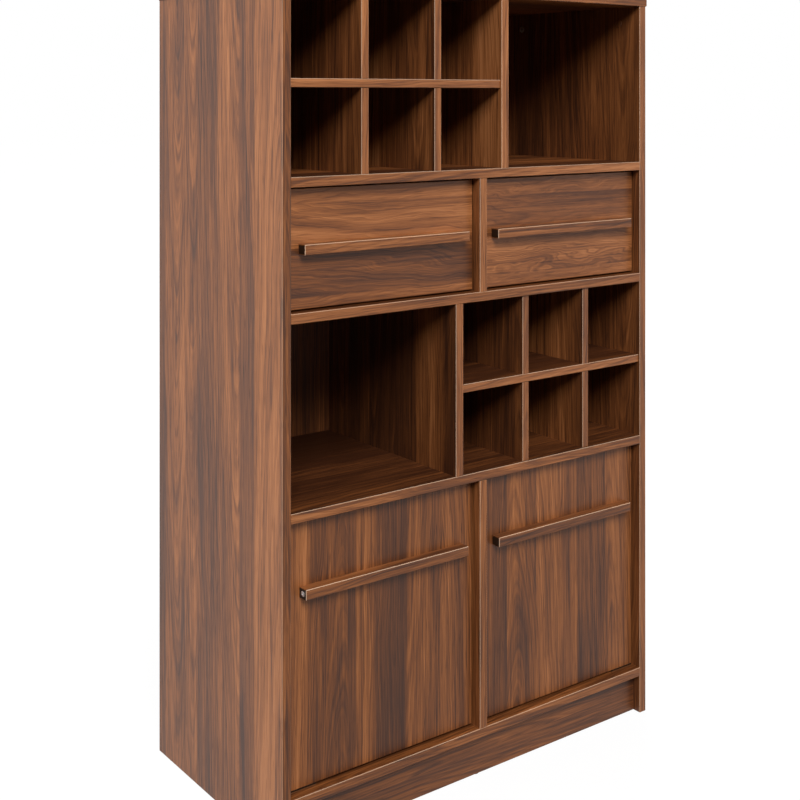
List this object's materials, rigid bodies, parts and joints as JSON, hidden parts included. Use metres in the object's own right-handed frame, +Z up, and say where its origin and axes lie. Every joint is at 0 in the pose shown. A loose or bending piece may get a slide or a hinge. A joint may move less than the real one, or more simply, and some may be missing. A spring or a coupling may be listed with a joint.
{
  "type": "sideboard with wine rack",
  "caption": "Tall walnut-finish sideboard with bottle-cell wine racks, open bays, inset drawers on telescopic slides and inset hinged doors with strip handles.",
  "frame": {"origin": "on the floor under the middle of the overall box", "axes": "+Z up, the open front faces -Y, +X to the right when looking at the front"},
  "size_m": [0.903, 0.457, 1.5],
  "materials": {
    "walnut_board": "satin walnut foil on board",
    "dark_walnut_board": "satin dark walnut foil on board",
    "back_board": "matt walnut printed hardboard",
    "drawer_lining": "matt walnut foil on thin board",
    "beech_dowel": "raw ribbed beech",
    "zinc_fixings": "zinc plated",
    "zinc_slides": "bright zinc plated sheet",
    "nickel_hardware": "nickel plated",
    "black_plastic": "matt moulded",
    "catch_plastic": "matt moulded"
  },
  "bodies": {
    "carcass": {"left_side_panel": "walnut_board", "right_side_panel": "walnut_board", "top_panel": "walnut_board", "upper_shelf": "walnut_board", "middle_shelf": "walnut_board", "lower_shelf": "walnut_board", "bottom_shelf": "walnut_board", "plinth_board": "dark_walnut_board", "rear_rail": "dark_walnut_board", "back_panel": "back_board", "upper_partition": "walnut_board", "upper_rack_shelf": "walnut_board", "upper_rack_divider_left": "walnut_board", "upper_rack_divider_right": "walnut_board", "drawer_divider": "walnut_board", "lower_partition": "walnut_board", "lower_rack_shelf": "walnut_board", "lower_rack_divider_left": "walnut_board", "lower_rack_divider_right": "walnut_board", "door_divider": "walnut_board", "panel_dowels": "beech_dowel", "cam_locks": "zinc_fixings", "cam_bolts": "zinc_fixings", "back_panel_nails": "zinc_fixings", "floor_glides": "black_plastic", "left_outer_slides": "zinc_slides", "right_outer_slides": "zinc_slides", "carcass_screws": "zinc_fixings", "door_pivot_plates": "nickel_hardware", "door_catches": "catch_plastic"},
    "left_drawer": {"left_drawer_front": "walnut_board", "left_drawer_left_side": "drawer_lining", "left_drawer_right_side": "drawer_lining", "left_drawer_back": "drawer_lining", "left_drawer_bottom": "drawer_lining", "left_drawer_handle": "dark_walnut_board", "left_drawer_fasteners": "zinc_fixings", "left_inner_slides": "zinc_slides"},
    "left_slide_middles": {"left_middle_slides": "zinc_slides"},
    "right_drawer": {"right_drawer_front": "walnut_board", "right_drawer_left_side": "drawer_lining", "right_drawer_right_side": "drawer_lining", "right_drawer_back": "drawer_lining", "right_drawer_bottom": "drawer_lining", "right_drawer_handle": "dark_walnut_board", "right_drawer_fasteners": "zinc_fixings", "right_inner_slides": "zinc_slides"},
    "right_slide_middles": {"right_middle_slides": "zinc_slides"},
    "left_door": {"left_door_panel": "walnut_board", "left_door_handle": "dark_walnut_board", "left_handle_plug": "black_plastic", "left_handle_screw": "nickel_hardware", "left_door_fasteners": "zinc_fixings", "left_door_pivot_leaves": "nickel_hardware", "left_door_strike": "nickel_hardware"},
    "right_door": {"right_door_panel": "walnut_board", "right_door_handle": "dark_walnut_board", "right_door_fasteners": "zinc_fixings", "right_door_pivot_leaves": "nickel_hardware", "right_door_strike": "nickel_hardware"}
  },
  "joints": [
    {"name": "left_drawer_slide", "type": "slide", "parent": "carcass", "child": "left_drawer", "axis": [0, -1, 0], "range_m": [0, 0.35]},
    {"name": "left_middle_slide", "type": "slide", "parent": "carcass", "child": "left_slide_middles", "axis": [0, -1, 0], "range_m": [0, 0.175]},
    {"name": "right_drawer_slide", "type": "slide", "parent": "carcass", "child": "right_drawer", "axis": [0, -1, 0], "range_m": [0, 0.35]},
    {"name": "right_middle_slide", "type": "slide", "parent": "carcass", "child": "right_slide_middles", "axis": [0, -1, 0], "range_m": [0, 0.175]},
    {"name": "left_door_hinge", "type": "hinge", "parent": "carcass", "child": "left_door", "pos_m": [-0.4255, -0.2045, 0.3305], "axis": [0, 0, -1], "range_deg": [0, 90]},
    {"name": "right_door_hinge", "type": "hinge", "parent": "carcass", "child": "right_door", "pos_m": [0.4255, -0.2045, 0.3305], "axis": [0, 0, 1], "range_deg": [0, 90]}
  ],
  "couplings": [
    {"joint": "left_middle_slide", "follows": "left_drawer_slide", "ratio": 0.5},
    {"joint": "right_middle_slide", "follows": "right_drawer_slide", "ratio": 0.5}
  ]
}
